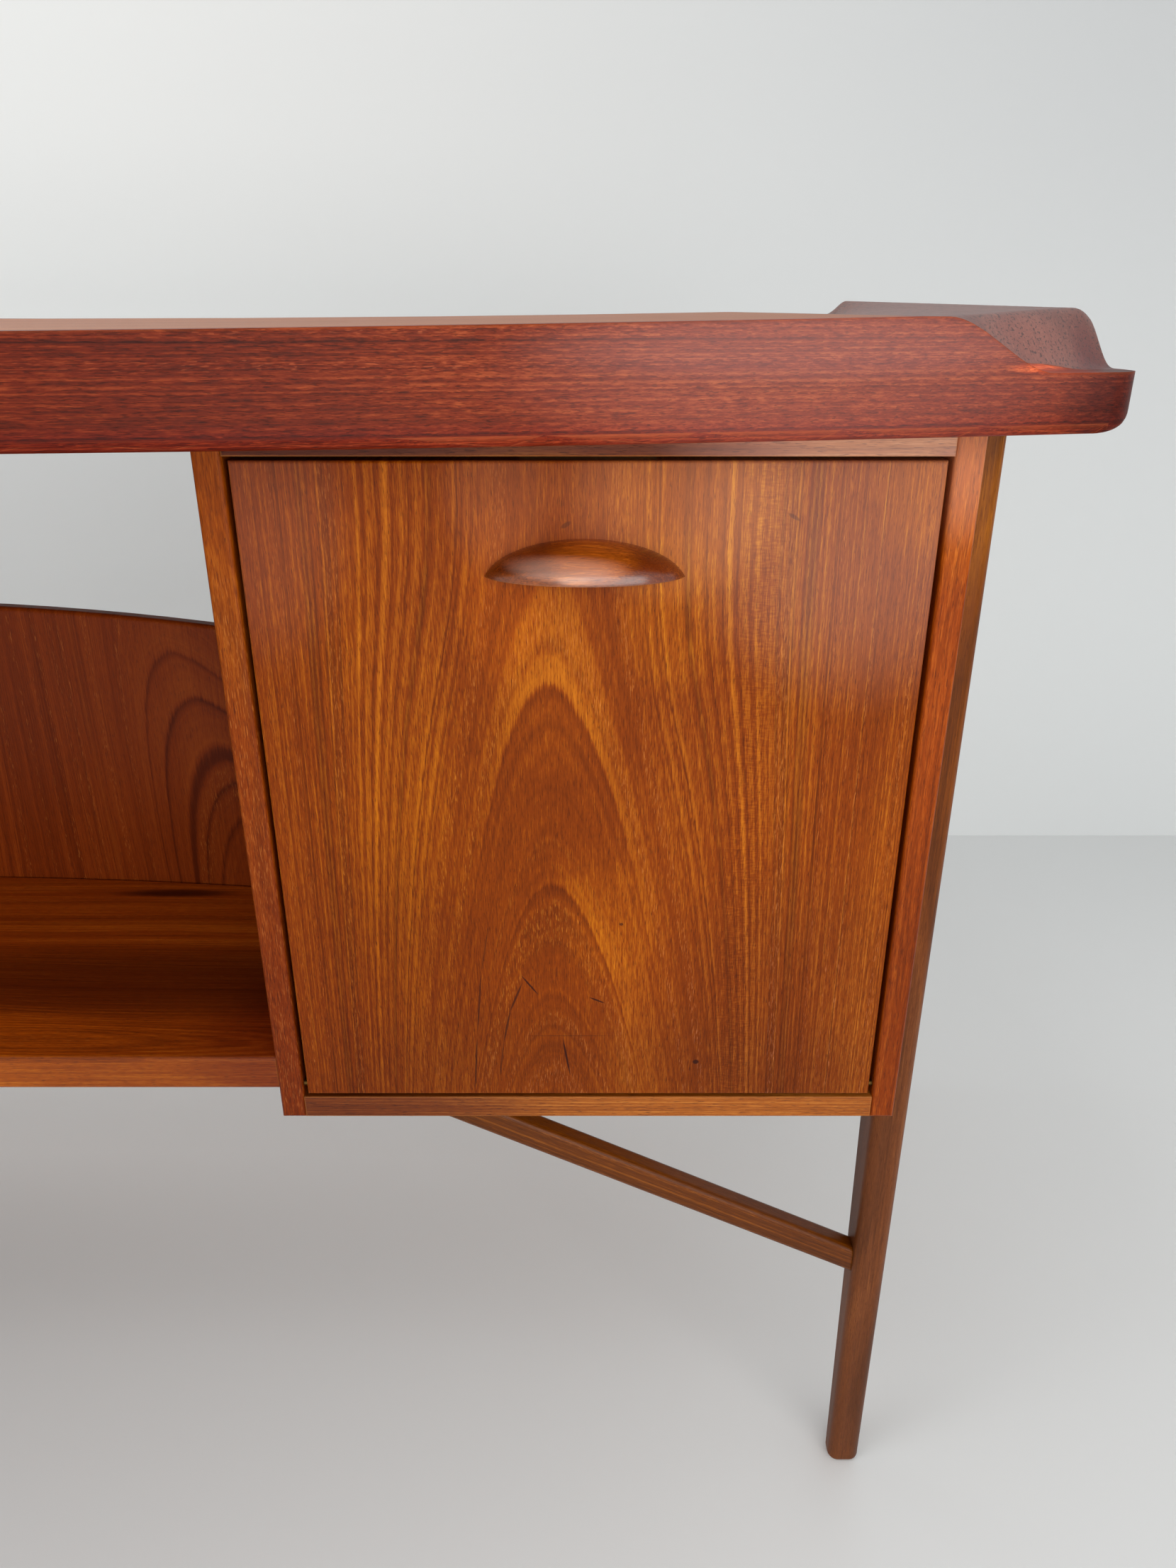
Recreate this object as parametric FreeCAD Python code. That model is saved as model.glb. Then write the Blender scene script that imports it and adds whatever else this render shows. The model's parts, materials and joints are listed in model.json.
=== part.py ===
import FreeCAD, Part
import math
import os

# Executive desk in teak, millimetres.
# Origin: on the floor, under the middle of the top. +X along the length,
# -Y towards the visitor, +Y towards the person who works at it, +Z up.
# "left" and "right" are as the visitor sees them, so right is +X.

# Top: outline in plan
top_half_length = 692.0
top_half_depth = 336.0
visitor_bow = 83.0
user_bow = 6.0
top_corner_radius = 16.0
edge_band_width = 20.0
end_lip_length = 92.0
end_lip_start = top_half_length - end_lip_length

# Top: heights and thicknesses
top_underside_height = 699.0
top_middle_thickness = 36.6
top_middle_height = top_underside_height + top_middle_thickness
top_dish_rise = 5.3
end_fall = 2.4
lip_rise_visitor = 5.2
lip_rise_user = 10.6
lip_sweep_visitor = 76.0
lip_sweep_user = 16.0
lip_crest_setback = 6.0
lip_outer_fall = 3.0
corner_flat_thickness = 22.4
corner_flat_height = top_underside_height + corner_flat_thickness
visitor_slope_start = 83.0
visitor_slope_end = 38.0
lip_slope_start = 10.0
lip_slope_end = 60.0
outer_slope_start = 29.0
outer_slope_end = 64.0
user_lip_slope_start = 15.0
user_lip_slope_end = 75.0
top_bottom_round = 4.0
end_bottom_round_wide = 18.0
end_bottom_round_high = 13.5
sculpt_margin = 4.0
top_stock_height = top_middle_height + top_dish_rise + lip_rise_user + sculpt_margin

# Cabinets, hung under the top
end_overhang = 43.0
visitor_overhang = 120.2
user_overhang = 51.0
cabinet_half_width = 169.0
cabinet_height = 365.0
side_thickness = 13.2
side_drop = 1.0
side_edge_round = 2.0
board_thickness = 13.0
divider_centre = -16.0
divider_thickness = 14.0
cabinet_centre = top_half_length - end_overhang - cabinet_half_width
cabinet_visitor_face = top_half_depth - visitor_overhang
cabinet_user_face = top_half_depth - user_overhang
cabinet_floor_height = top_underside_height - cabinet_height
side_bottom_height = cabinet_floor_height - side_drop
cabinet_ceiling_height = top_underside_height - board_thickness
cabinet_bottom_top = cabinet_floor_height + board_thickness
inner_half_width = cabinet_half_width - side_thickness
kneehole_half_width = cabinet_centre - cabinet_half_width
leg_inner_x = cabinet_centre + cabinet_half_width

# Drop flaps on the visitor side
flap_thickness = 16.0
flap_side_gap = 2.4
flap_top_gap = 1.8
flap_bottom_gap = 2.0
flap_edge_round = 1.2
pivot_from_face = 4.5
pivot_from_edge = 4.5
pin_radius = 1.5
pin_in_side = 8.0
pin_in_flap = 9.0
pin_play = 0.05
stop_length = 60.0
stop_depth = 12.0
stop_height = 12.0
stop_gap = 0.4

# Pulls
pull_length = 89.0
pull_height = 16.6
pull_reach = 20.5
pull_tip_cut = 1.0
pull_off_centre = 1.5
pull_hollow_length = 62.0
pull_hollow_height = 9.0
pull_hollow_reach = 12.0
flap_pull_drop = 49.5
drawer_pull_drop = 48.0

# Drawers on the user side
drawer_front_thickness = 18.0
drawer_gap = 2.0
drawer_side_gap = 1.6
drawer_board_thickness = 8.0
drawer_board_setback = 0.5
drawer_run_gap = 0.4
drawer_head_gap = 10.0
box_side_gap = 0.6
box_side_thickness = 10.0
box_back_gap = 6.0
box_bottom_thickness = 5.0
box_bottom_lift = 6.0
box_groove_depth = 4.0

# Legs
leg_thickness = 21.0
leg_setback = 32.0
leg_depth = 34.0
leg_foot_depth = 17.0
leg_taper_lap = 20.0
leg_taper_height = cabinet_floor_height + leg_taper_lap
leg_round = 6.5
foot_round = 4.0

# Braces
brace_height = 17.5
brace_depth = 13.5
brace_setback = 5.5
brace_drop = 159.4
brace_end_setback = 17.2
brace_low_height = cabinet_floor_height - brace_drop
brace_high_reach = 2 * cabinet_half_width - brace_end_setback
brace_round = 3.5

# Bookshelf between the cabinets
shelf_lift = 17.0
shelf_underside_height = cabinet_floor_height + shelf_lift
shelf_thickness = 21.0
shelf_setback = 1.8
shelf_face = cabinet_visitor_face - shelf_setback
shelf_edge_round = 2.5
back_middle = -7.0
back_bow = 24.0
back_thickness = 12.0
back_height = 198.1
back_arch_height = shelf_underside_height + shelf_thickness + back_height
back_arch_fall = 19.0
back_edge_round = 3.0

# Leg screws, put in from inside the cabinets
screw_radius = 2.5
screw_head_radius = 5.0
screw_head_height = 2.5
screw_depth_in_leg = 13.0
low_screw_rise = 75.0
high_screw_drop = 70.0

# How many rows and columns of points shape the sculpted ends of the top
column_count = 52
corner_row_count = 36
middle_row_count = 13


def vec(x, y, z):
    return FreeCAD.Vector(x, y, z)


def block(x0, x1, y0, y1, z0, z1):
    return Part.makeBox(x1 - x0, y1 - y0, z1 - z0, vec(x0, y0, z0))


def polygon_face(points):
    return Part.Face(Part.makePolygon(points + [points[0]]))


def rounded(solid, radius, chosen):
    return solid.makeFillet(radius, chosen)


def straight_edges(solid, axis):
    found = []
    for edge in solid.Edges:
        ends = edge.Vertexes
        if len(ends) != 2:
            continue
        run = ends[1].Point.sub(ends[0].Point)
        if run.Length > 0 and abs(run.dot(axis)) > 0.9999 * run.Length:
            found.append(edge)
    return found


def mirror_x(solid):
    return solid.mirror(vec(0, 0, 0), vec(1, 0, 0))


def mirror_y(solid):
    return solid.mirror(vec(0, 0, 0), vec(0, 1, 0))


def both_sides(name, solid, pieces):
    pieces["right_" + name] = solid
    pieces["left_" + name] = mirror_x(solid)


def bow_radius(half_chord, sagitta):
    return (half_chord ** 2 + sagitta ** 2) / (2 * sagitta)


def smooth(share):
    share = min(1, max(0, share))
    return share * share * (3 - 2 * share)


visitor_radius = bow_radius(top_half_length, visitor_bow)
user_radius = bow_radius(top_half_length, user_bow)
dish_radius = bow_radius(end_lip_start, top_dish_rise)
visitor_centre_y = -top_half_depth + visitor_radius
user_centre_y = top_half_depth - user_radius


def visitor_edge_y(x, inset=0):
    return visitor_centre_y - math.sqrt((visitor_radius - inset) ** 2 - x * x)


def user_edge_y(x, inset=0):
    return user_centre_y + math.sqrt((user_radius - inset) ** 2 - x * x)


def dish_height(x):
    return top_middle_height + dish_radius - math.sqrt(dish_radius ** 2 - x * x)


# Past the dish the writing surface falls a little towards the end.
def surface_height(x):
    if x <= end_lip_start:
        return dish_height(x)
    fall = smooth((x - end_lip_start) / (top_half_length - end_lip_start))
    return dish_height(end_lip_start) - end_fall * fall


# The raised lip at each end: a hollow sweep up to a crest near the end, then
# a short fall to the outer face. Towards the user the crest climbs and the
# sweep gets narrower, and the lip dies out before the user's edge.
def lip_height(x, y):
    start = visitor_edge_y(top_half_length) + lip_slope_end
    edge = user_edge_y(top_half_length)
    along = min(1, max(0, (y - start) / (edge - user_lip_slope_end - start)))
    rise = lip_rise_visitor + (lip_rise_user - lip_rise_visitor) * along
    foot = top_half_length - lip_sweep_visitor + (lip_sweep_visitor - lip_sweep_user) * along
    crest_x = top_half_length - lip_crest_setback
    sweep = smooth((x - foot) / (crest_x - foot))
    ahead = user_edge_y(x) - y - user_lip_slope_start
    kept = smooth(ahead / (user_lip_slope_end - user_lip_slope_start))
    past = max(0, x - crest_x) / lip_crest_setback
    return surface_height(x) + rise * sweep * kept - lip_outer_fall * past * past


# On the visitor side both the edge band and the lip fall in an S curve to a
# flat at the corner. The two falls share one saddle, and the lip's own fall
# is steepest at the outer face.
def sculpted_height(x, y):
    slope_from = top_half_length - visitor_slope_start
    slope_to = top_half_length - visitor_slope_end
    across = 1 - smooth((x - slope_from) / (slope_to - slope_from))
    outward = smooth((x - slope_to) / visitor_slope_end)
    start = lip_slope_start + (outer_slope_start - lip_slope_start) * outward
    end = lip_slope_end + (outer_slope_end - lip_slope_end) * outward
    along = smooth((y - visitor_edge_y(x) - start) / (end - start))
    kept = 1 - (1 - across) * (1 - along)
    return corner_flat_height + (lip_height(x, y) - corner_flat_height) * kept


def spread(start, end, count):
    return [start + (end - start) * i / (count - 1) for i in range(count)]


def sculpt_rows():
    near = visitor_edge_y(top_half_length) + lip_slope_end + lip_slope_end / 2
    far = user_edge_y(top_half_length) - user_lip_slope_end - lip_slope_end / 2
    outer = top_half_depth + sculpt_margin
    visitor_rows = spread(-outer, near, corner_row_count)
    user_rows = spread(far, outer, corner_row_count)
    return visitor_rows + spread(near, far, middle_row_count)[1:-1] + user_rows


def end_cutter():
    columns = spread(end_lip_start, top_half_length + sculpt_margin, column_count)
    grid = [[vec(x, y, sculpted_height(x, y)) for y in sculpt_rows()] for x in columns]
    surface = Part.BSplineSurface()
    surface.interpolate(grid)
    return surface.toShape().extrude(vec(0, 0, top_stock_height - top_underside_height))


def middle_cutter():
    high = dish_height(end_lip_start)
    left = vec(-end_lip_start, 0, high)
    right = vec(end_lip_start, 0, high)
    dish = Part.Arc(left, vec(0, 0, top_middle_height), right).toShape()
    lid = Part.makePolygon([right, vec(end_lip_start, 0, top_stock_height),
                            vec(-end_lip_start, 0, top_stock_height), left])
    face = Part.Face(Part.Wire([dish] + lid.Edges))
    depth = 2 * (top_half_depth + sculpt_margin)
    face.translate(vec(0, -depth / 2, 0))
    return face.extrude(vec(0, depth, 0))


def top_outline(low, high):
    x = top_half_length
    a = vec(-x, visitor_edge_y(x), low)
    b = vec(x, visitor_edge_y(x), low)
    c = vec(x, user_edge_y(x), low)
    d = vec(-x, user_edge_y(x), low)
    near = Part.Arc(a, vec(0, -top_half_depth, low), b).toShape()
    far = Part.Arc(c, vec(0, top_half_depth, low), d).toShape()
    wire = Part.Wire([near, Part.makeLine(b, c), far, Part.makeLine(d, a)])
    return Part.Face(wire).extrude(vec(0, 0, high - low))


# Seen along the top's depth: a plain slab whose lower ends are rounded.
def end_profile():
    x = top_half_length
    low = top_underside_height
    shoulder = x - end_bottom_round_wide
    spring = low + end_bottom_round_high
    tips = [vec(x, 0, spring), vec(shoulder, 0, low)]
    if end_bottom_round_high > end_bottom_round_wide:
        tips.reverse()
    curve = Part.Ellipse(tips[0], tips[1], vec(shoulder, 0, spring))
    turn = Part.ArcOfEllipse(curve, 0, math.pi / 2).toShape()
    under = Part.makeLine(vec(-shoulder, 0, low), vec(shoulder, 0, low))
    over = Part.makePolygon([vec(x, 0, spring), vec(x, 0, top_stock_height),
                             vec(-x, 0, top_stock_height), vec(-x, 0, spring)])
    edges = [under, turn, mirror_x(turn)] + over.Edges
    face = Part.Face(Part.Wire(Part.__sortEdges__(edges)))
    depth = 2 * (top_half_depth + sculpt_margin)
    face.translate(vec(0, -depth / 2, 0))
    return face.extrude(vec(0, depth, 0))


def whole_top():
    stock = top_outline(top_underside_height, top_stock_height)
    stock = rounded(stock, top_corner_radius, straight_edges(stock, vec(0, 0, 1)))
    rim = [e for e in stock.Edges if e.BoundBox.ZMax < top_underside_height + top_bottom_round]
    stock = rounded(stock, top_bottom_round, rim)
    stock = stock.common(end_profile())
    cutter = end_cutter()
    stock = stock.cut(middle_cutter())
    stock = stock.cut(cutter)
    return stock.cut(mirror_x(cutter))


def band_zone(edge_y, middle_y, outward):
    x = top_half_length + sculpt_margin
    low = top_underside_height - sculpt_margin
    a = vec(-x, edge_y(x, edge_band_width), low)
    b = vec(x, edge_y(x, edge_band_width), low)
    far = outward * (top_half_depth + sculpt_margin)
    arc = Part.Arc(a, vec(0, middle_y, low), b).toShape()
    rest = Part.makePolygon([b, vec(x, far, low), vec(-x, far, low), a])
    face = Part.Face(Part.Wire([arc] + rest.Edges))
    return face.extrude(vec(0, 0, top_stock_height - low))


def add_top(pieces):
    whole = whole_top()
    inner = top_half_depth - edge_band_width
    visitor_zone = band_zone(visitor_edge_y, -inner, -1)
    user_zone = band_zone(user_edge_y, inner, 1)
    pieces["visitor_edge_band"] = whole.common(visitor_zone)
    pieces["user_edge_band"] = whole.common(user_zone)
    field = whole.cut(visitor_zone).cut(user_zone)
    depth = top_half_depth + sculpt_margin
    low = top_underside_height - sculpt_margin
    middle = block(-end_lip_start, end_lip_start, -depth, depth, low, top_stock_height)
    ends = block(end_lip_start, top_half_length + sculpt_margin, -depth, depth, low,
                 top_stock_height)
    pieces["top_panel"] = field.common(middle)
    both_sides("end_lip", field.common(ends), pieces)


def cabinet_side(x0, x1):
    solid = block(x0, x1, -cabinet_visitor_face, cabinet_user_face,
                  side_bottom_height, top_underside_height)
    low = [e for e in solid.Edges if e.BoundBox.ZMax < cabinet_floor_height]
    ends = [e for e in low if e.BoundBox.YLength < side_thickness]
    return rounded(solid, side_edge_round, straight_edges(solid, vec(0, 0, 1)) + ends)


def pin_axis():
    y = -cabinet_visitor_face + pivot_from_face
    z = cabinet_bottom_top + flap_bottom_gap + pivot_from_edge
    return y, z


def rod(x0, x1, y, z, radius):
    return Part.makeCylinder(radius, x1 - x0, vec(x0, y, z), vec(1, 0, 0))


def leg_screw_places():
    y = -cabinet_visitor_face + leg_setback + leg_depth / 2
    y_user = cabinet_user_face - leg_setback - leg_depth / 2
    low = cabinet_floor_height + low_screw_rise
    high = top_underside_height - high_screw_drop
    return [(side_y, z) for side_y in (y, y_user) for z in (low, high)]


# A countersunk screw, its head flush with the inside of the cabinet.
def leg_screw(y, z):
    inner = cabinet_centre + inner_half_width
    shank = rod(inner, leg_inner_x + screw_depth_in_leg, y, z, screw_radius)
    head = Part.makeCone(screw_head_radius, screw_radius, screw_head_height,
                         vec(inner, y, z), vec(1, 0, 0))
    return shank.fuse(head).removeSplitter()


def leg_screw_holes(solid):
    for y, z in leg_screw_places():
        solid = solid.cut(leg_screw(y, z))
    return solid


def add_cabinet_frames(pieces):
    inner_left = cabinet_centre - inner_half_width
    inner_right = cabinet_centre + inner_half_width
    y, z = pin_axis()
    outer = leg_screw_holes(cabinet_side(inner_right, leg_inner_x))
    outer = outer.cut(rod(inner_right, inner_right + pin_in_side, y, z, pin_radius))
    inner = cabinet_side(kneehole_half_width, inner_left)
    inner = inner.cut(rod(inner_left - pin_in_side, inner_left, y, z, pin_radius))
    both_sides("outer_side", outer, pieces)
    both_sides("inner_side", inner, pieces)
    both_sides("cabinet_top", block(inner_left, inner_right, -cabinet_visitor_face,
                                    cabinet_user_face, cabinet_ceiling_height,
                                    top_underside_height), pieces)
    both_sides("cabinet_floor", block(inner_left, inner_right, -cabinet_visitor_face,
                                      cabinet_user_face, cabinet_floor_height,
                                      cabinet_bottom_top), pieces)
    both_sides("cabinet_divider", block(inner_left, inner_right,
                                        divider_centre - divider_thickness / 2,
                                        divider_centre + divider_thickness / 2,
                                        cabinet_bottom_top, cabinet_ceiling_height), pieces)


def add_screws(pieces):
    screws = [leg_screw(y, z) for y, z in leg_screw_places()]
    screws = screws + [mirror_x(s) for s in screws]
    pieces["leg_screws"] = Part.makeCompound(screws)


def hinge_pin(outer_x, inward):
    y, z = pin_axis()
    x0 = outer_x + inward * (flap_side_gap + pin_in_flap)
    x1 = outer_x - inward * pin_in_side
    return rod(min(x0, x1), max(x0, x1), y, z, pin_radius)


def add_hinge_pins(pieces):
    near = hinge_pin(cabinet_centre - inner_half_width, 1)
    far = hinge_pin(cabinet_centre + inner_half_width, -1)
    pins = [near, far, mirror_x(near), mirror_x(far)]
    pieces["flap_hinge_pins"] = Part.makeCompound(pins)


def flap():
    half = inner_half_width - flap_side_gap
    x0 = cabinet_centre - half
    x1 = cabinet_centre + half
    face_y = -cabinet_visitor_face
    z0 = cabinet_bottom_top + flap_bottom_gap
    z1 = cabinet_ceiling_height - flap_top_gap
    solid = block(x0, x1, face_y, face_y + flap_thickness, z0, z1)
    front = [e for e in solid.Edges if e.BoundBox.YMax < face_y + flap_edge_round]
    solid = rounded(solid, flap_edge_round, front)
    y, z = pin_axis()
    bore = pin_radius + pin_play
    solid = solid.cut(rod(x0, x0 + pin_in_flap + flap_edge_round, y, z, bore))
    return solid.cut(rod(x1 - pin_in_flap - flap_edge_round, x1, y, z, bore))


# A quarter of a pod with a blunt point at both ends: flat below, flat behind.
# Its outline is an ellipse cut off a little above the middle.
def quarter_pod(length, height, reach):
    half = length / 2
    long_radius = half + pull_tip_cut
    cut_share = math.sqrt(1 - (half / long_radius) ** 2)
    short_radius = height / (1 - cut_share)
    centre = vec(0, 0, height - short_radius)
    oval = Part.Ellipse(vec(long_radius, 0, centre.z), vec(0, 0, height), centre)
    turn = math.asin(cut_share)
    arc = Part.ArcOfEllipse(oval, turn, math.pi - turn).toShape()
    face = Part.Face(Part.Wire([arc, Part.makeLine(vec(-half, 0, 0), vec(half, 0, 0))]))
    solid = face.revolve(vec(0, 0, 0), vec(1, 0, 0), 90)
    stretch = FreeCAD.Matrix()
    stretch.scale(1, reach / height, 1)
    return solid.transformGeometry(stretch)


def pull():
    pod = quarter_pod(pull_length, pull_height, pull_reach)
    hollow = quarter_pod(pull_hollow_length, pull_hollow_height, pull_hollow_reach)
    return pod.cut(hollow)


def add_flaps(pieces):
    both_sides("flap", flap(), pieces)
    grip = pull()
    z = cabinet_ceiling_height - flap_top_gap - flap_pull_drop
    grip.translate(vec(cabinet_centre - pull_off_centre, -cabinet_visitor_face, z))
    both_sides("flap_pull", grip, pieces)
    y0 = -cabinet_visitor_face + flap_thickness + stop_gap
    stop = block(cabinet_centre - stop_length / 2, cabinet_centre + stop_length / 2,
                 y0, y0 + stop_depth, cabinet_ceiling_height - stop_height,
                 cabinet_ceiling_height)
    both_sides("flap_stop", stop, pieces)


# One drawer in the right cabinet. low and high are its front's edges, floor
# is what its box runs on.
def drawer(low, high, floor):
    parts = {}
    half = inner_half_width - drawer_side_gap
    front_back = cabinet_user_face - drawer_front_thickness
    front = block(cabinet_centre - half, cabinet_centre + half, front_back,
                  cabinet_user_face, low, high)
    outside = [e for e in front.Edges if e.BoundBox.YMin > cabinet_user_face - flap_edge_round]
    parts["front"] = rounded(front, flap_edge_round, outside)
    half = inner_half_width - box_side_gap
    back_y = divider_centre + divider_thickness / 2 + box_back_gap
    z0 = floor + drawer_run_gap
    z1 = high - drawer_head_gap
    wall = box_side_thickness
    box = block(cabinet_centre - half, cabinet_centre + half, back_y, front_back, z0, z1)
    inside = block(cabinet_centre - half + wall, cabinet_centre + half - wall,
                   back_y + wall, front_back, z0, z1)
    reach = half - wall + box_groove_depth
    bottom = block(cabinet_centre - reach, cabinet_centre + reach,
                   back_y + wall - box_groove_depth, front_back,
                   z0 + box_bottom_lift, z0 + box_bottom_lift + box_bottom_thickness)
    parts["box"] = box.cut(inside).cut(bottom)
    parts["bottom"] = bottom
    grip = pull().mirror(vec(0, 0, 0), vec(0, 1, 0))
    grip.translate(vec(cabinet_centre, cabinet_user_face, high - drawer_pull_drop))
    parts["pull"] = grip
    return parts


def front_pitch():
    clear = cabinet_ceiling_height - flap_top_gap - cabinet_bottom_top - flap_bottom_gap
    return (clear + drawer_gap) / 3


def drawer_board(level):
    joint = cabinet_bottom_top + flap_bottom_gap + level * front_pitch() - drawer_gap / 2
    inner = cabinet_centre - inner_half_width
    front = cabinet_user_face - drawer_front_thickness - drawer_board_setback
    return block(inner, inner + 2 * inner_half_width,
                 divider_centre + divider_thickness / 2, front,
                 joint - drawer_board_thickness / 2, joint + drawer_board_thickness / 2)


# level 0 is the lowest place, span is how many of the three places it takes
def placed_drawer(level, span):
    low = cabinet_bottom_top + flap_bottom_gap + level * front_pitch()
    high = low + span * front_pitch() - drawer_gap
    floor = cabinet_bottom_top
    if level > 0:
        floor = low - drawer_gap / 2 + drawer_board_thickness / 2
    return drawer(low, high, floor)


def add_drawers(pieces):
    for name, level in (("lower", 0), ("middle", 1), ("upper", 2)):
        for key, solid in placed_drawer(level, 1).items():
            pieces["right_%s_drawer_%s" % (name, key)] = solid
    for name, level, span in (("file", 0, 2), ("upper", 2, 1)):
        for key, solid in placed_drawer(level, span).items():
            pieces["left_%s_drawer_%s" % (name, key)] = mirror_x(solid)
    pieces["right_lower_drawer_board"] = drawer_board(1)
    pieces["right_upper_drawer_board"] = drawer_board(2)
    pieces["left_drawer_board"] = mirror_x(drawer_board(2))


# Leg on the right, visitor side. Its outer face and its visitor face are
# plumb, its back slants in to a slim foot.
def leg():
    y0 = -cabinet_visitor_face + leg_setback
    x0 = leg_inner_x
    side = polygon_face([vec(x0, y0, 0), vec(x0, y0 + leg_foot_depth, 0),
                         vec(x0, y0 + leg_depth, leg_taper_height),
                         vec(x0, y0 + leg_depth, top_underside_height),
                         vec(x0, y0, top_underside_height)])
    solid = side.extrude(vec(leg_thickness, 0, 0))
    long_edges = [e for e in solid.Edges
                  if e.BoundBox.XLength < leg_round and e.BoundBox.ZLength > leg_round]
    solid = rounded(solid, leg_round, long_edges)
    foot = [e for e in solid.Edges if e.BoundBox.ZMax < leg_round]
    return rounded(solid, foot_round, foot)


def leg_brace():
    y0 = -cabinet_visitor_face + leg_setback + brace_setback
    x_low = leg_inner_x
    x_high = leg_inner_x - brace_high_reach
    rise = cabinet_floor_height - brace_low_height
    slope = math.atan2(rise, brace_high_reach)
    up = brace_height / math.cos(slope)
    along = brace_height / math.sin(slope)
    side = polygon_face([vec(x_low, y0, brace_low_height),
                         vec(x_low, y0, brace_low_height + up),
                         vec(x_high + along, y0, cabinet_floor_height),
                         vec(x_high, y0, cabinet_floor_height)])
    solid = side.extrude(vec(0, brace_depth, 0))
    long_edges = [e for e in solid.Edges
                  if e.BoundBox.XLength > brace_height and e.BoundBox.ZLength > brace_height]
    return rounded(solid, brace_round, long_edges)


def add_legs(pieces):
    standing = leg()
    stay = leg_brace()
    shift = vec(0, cabinet_user_face - cabinet_visitor_face, 0)
    user_leg = mirror_y(standing)
    user_leg.translate(shift)
    user_stay = mirror_y(stay)
    user_stay.translate(shift)
    both_sides("visitor_leg", leg_screw_holes(standing), pieces)
    both_sides("user_leg", leg_screw_holes(user_leg), pieces)
    both_sides("visitor_brace", stay, pieces)
    both_sides("user_brace", user_stay, pieces)


def back_outline(inset):
    x = kneehole_half_width
    radius = bow_radius(x, back_bow)
    centre_y = back_middle - radius
    reach = radius + inset
    end_y = centre_y + math.sqrt(reach ** 2 - x * x)
    return end_y, centre_y + reach


def add_bookshelf(pieces):
    x = kneehole_half_width
    low = shelf_underside_height
    high = low + shelf_thickness
    end_y, middle_y = back_outline(0)
    far_end_y, far_middle_y = back_outline(back_thickness)
    near = Part.Arc(vec(-x, end_y, low), vec(0, middle_y, low), vec(x, end_y, low)).toShape()
    far = Part.Arc(vec(-x, far_end_y, low), vec(0, far_middle_y, low),
                   vec(x, far_end_y, low)).toShape()
    front = Part.makePolygon([vec(x, end_y, low), vec(x, -shelf_face, low),
                              vec(-x, -shelf_face, low), vec(-x, end_y, low)])
    board = Part.Face(Part.Wire([near] + front.Edges)).extrude(vec(0, 0, high - low))
    lip = [e for e in straight_edges(board, vec(1, 0, 0))]
    pieces["shelf_board"] = rounded(board, shelf_edge_round, lip)
    ends = [Part.makeLine(vec(s * x, end_y, low), vec(s * x, far_end_y, low)) for s in (-1, 1)]
    ring = Part.Face(Part.Wire(Part.__sortEdges__([near, ends[1], far, ends[0]])))
    panel = ring.extrude(vec(0, 0, back_arch_height - low))
    edge_z = back_arch_height - back_arch_fall
    crown = Part.Arc(vec(-x, 0, edge_z), vec(0, 0, back_arch_height), vec(x, 0, edge_z)).toShape()
    sides = Part.makePolygon([vec(x, 0, edge_z), vec(x, 0, low), vec(-x, 0, low),
                              vec(-x, 0, edge_z)])
    arch = Part.Face(Part.Wire([crown] + sides.Edges))
    arch.translate(vec(0, -cabinet_visitor_face, 0))
    arch = arch.extrude(vec(0, cabinet_visitor_face + cabinet_user_face, 0))
    panel = panel.common(arch)
    upper = [e for e in panel.Edges if e.BoundBox.ZMin > edge_z - back_edge_round
             and e.BoundBox.XLength > back_thickness]
    pieces["shelf_back"] = rounded(panel, back_edge_round, upper)


def build():
    pieces = {}
    add_top(pieces)
    add_cabinet_frames(pieces)
    add_screws(pieces)
    add_hinge_pins(pieces)
    add_flaps(pieces)
    add_drawers(pieces)
    add_legs(pieces)
    add_bookshelf(pieces)
    return pieces


os.makedirs("parts", exist_ok=True)
for name, shape in sorted(build().items()):
    shape.exportStep("parts/%s.step" % name)
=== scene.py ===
import json
import math

import bpy
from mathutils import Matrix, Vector

# Executive desk in teak. Lengths are metres, in the frame of the CAD model, and colours are
# sRGB, from 0 to 255.

# Camera
CAMERA_PLACE = (0.480, -0.6938, 0.7433)
CAMERA_PITCH = 23.6
CAMERA_LENS = 24.966
SENSOR_WIDTH = 36

# Stage
STAGE_REACH = 6.0
WALL_Y = 0.81
WALL_TOP = 3.2
FLOOR_COLOUR = (235, 236, 236)
# Painted shade on the floor: darker on the left in front of the desk and towards the wall
FLOOR_SHADE_COLOUR = (208, 209, 209)
FLOOR_CLOUD_DEPTH = 6
FLOOR_CLOUD_SCALE = 1.3
FLOOR_ROUGHNESS = 0.55
FLOOR_SHADE_X = (0.7, -0.2)
FLOOR_SHADE_Y = (0.16, -0.04)
WALL_COLOUR = (226, 229, 229)
# Painted shade on the wall: darker towards the right, and more so higher up
WALL_SHADE_COLOUR = (186, 188, 190)
WALL_SHADE_X = (-0.3, 1.4)
WALL_SHADE_Z = (0.2, 1.6)
WALL_SHADE_LOW = 0.5
WALL_SHADE_RISE = 0.6
ROOM_COLOUR = (232, 235, 235)
ROOM_STRENGTH = 0.80

# Ring lines of the wood
BEND_LENGTH, BEND_WIDTH = 0.45, 0.16
RING_OFFSET = 1.0
STREAK_PULL = 0.0010
LEAN_START, LEAN_END = 0.27, 0.13
SKEW_SHARPNESS = 50.0
STRAIGHT_BLEND = 0.06
OUTER_FADE = 0.90
FIGURE_RING_SHARE = 0.06
FIGURE_CALM = 0.35
# Where a figure's light bands fade to the middle tone: on the flanks of the arches, and in the
# inner arches on the left
FLANK_START, FLANK_END = 0.20, 0.62
INNER_START, INNER_END = 0.82, 0.80
INNER_SIDE_START, INNER_SIDE_END = 0.002, -0.016

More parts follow.
